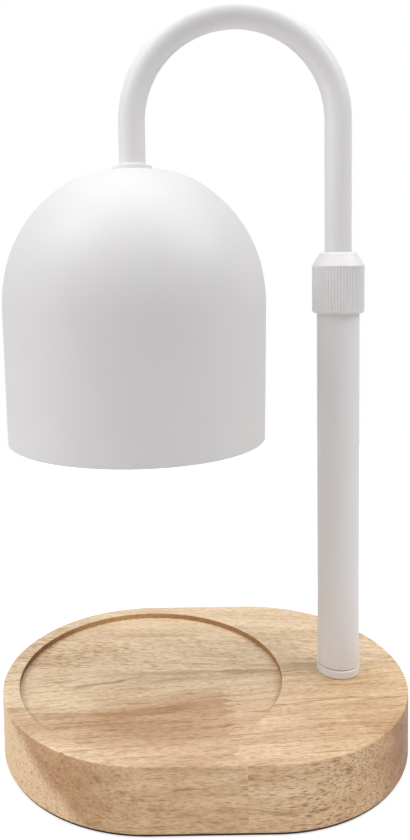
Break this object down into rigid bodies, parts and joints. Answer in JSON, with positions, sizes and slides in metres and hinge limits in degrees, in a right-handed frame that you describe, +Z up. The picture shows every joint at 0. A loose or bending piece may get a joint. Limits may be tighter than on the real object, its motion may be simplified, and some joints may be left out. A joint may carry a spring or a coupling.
{
  "type": "candle warmer lamp",
  "caption": "Table-top candle warming lamp: wooden board with a shallow recess, telescopic post with a knurled locking collar, hooked tube and white dome shade.",
  "frame": {"origin": "centre of the board's outline, on the surface that the pad rests on", "axes": "+Z up, +X from the candle recess towards the post, -Y the front that the picture shows"},
  "size_m": [0.1864, 0.137, 0.3365],
  "materials": {
    "rubberwood": "fine-sanded rubberwood with a thin matt clear coat",
    "pad_foam": "dark foam pad",
    "black_rubber": "matt moulded rubber",
    "grey_plastic": "moulded plastic",
    "white_powder_coat": "satin white powder coat",
    "zinc_steel": "bright zinc plate",
    "brass": "turned brass",
    "pale_nylon": "moulded nylon",
    "white_ceramic": "unglazed white ceramic",
    "reflector_glass": "mirror-coated pressed glass",
    "clear_glass": "clear glass",
    "silicone_sleeve": "heat-proof silicone sleeve"
  },
  "bodies": {
    "base": {"wood_base": "rubberwood", "base_pad": "pad_foam", "cord_grommet": "black_rubber", "pocket_cover": "grey_plastic", "cover_screw_1": "zinc_steel", "cover_screw_2": "zinc_steel", "cover_screw_3": "zinc_steel", "foot_ring": "white_powder_coat", "post_foot_plug": "zinc_steel", "lower_post": "white_powder_coat", "base_stem": "zinc_steel", "base_washer": "zinc_steel", "base_lock_washer": "zinc_steel", "base_nut": "zinc_steel", "post_top_bush": "brass", "clamp_collet": "pale_nylon", "lead_lower": "silicone_sleeve", "lead_slack": "silicone_sleeve"},
    "collar": {"locking_collar": "white_powder_coat"},
    "slider": {"guide_bush": "pale_nylon"},
    "hook": {"hook_tube": "white_powder_coat", "guide_retainer": "zinc_steel", "tube_end_plug": "zinc_steel", "tube_nipple": "zinc_steel", "shade_flange": "white_powder_coat", "shade": "white_powder_coat", "inner_washer": "zinc_steel", "holder_bracket": "zinc_steel", "shade_nut": "zinc_steel", "lamp_holder": "white_ceramic", "holder_screw_front": "zinc_steel", "holder_screw_rear": "zinc_steel", "lead_upper": "silicone_sleeve", "lead_core_left": "silicone_sleeve", "lead_core_right": "silicone_sleeve"},
    "bulb": {"bulb_reflector": "reflector_glass", "bulb_base": "white_ceramic", "bulb_capsule": "clear_glass", "bulb_front_glass": "clear_glass", "bulb_pin_left": "brass", "bulb_pin_right": "brass"}
  },
  "joints": [
    {"name": "height_slide", "type": "slide", "parent": "base", "child": "slider", "axis": [0, 0, 1], "range_m": [-0.058, 0.045], "deforming": ["lead_slack"]},
    {"name": "hook_swivel", "type": "hinge", "parent": "slider", "child": "hook", "pos_m": [0.06345, 0, 0.2], "axis": [0, 0, 1], "range_deg": [-170, 170]},
    {"name": "collar_twist", "type": "hinge", "parent": "base", "child": "collar", "pos_m": [0.06345, 0, 0.2], "axis": [0, 0, 1], "range_deg": [0, 150]},
    {"name": "bulb_twist", "type": "hinge", "parent": "hook", "child": "bulb", "pos_m": [-0.02915, 0, 0.2], "axis": [0, 0, -1], "range_deg": [0, 35]}
  ]
}
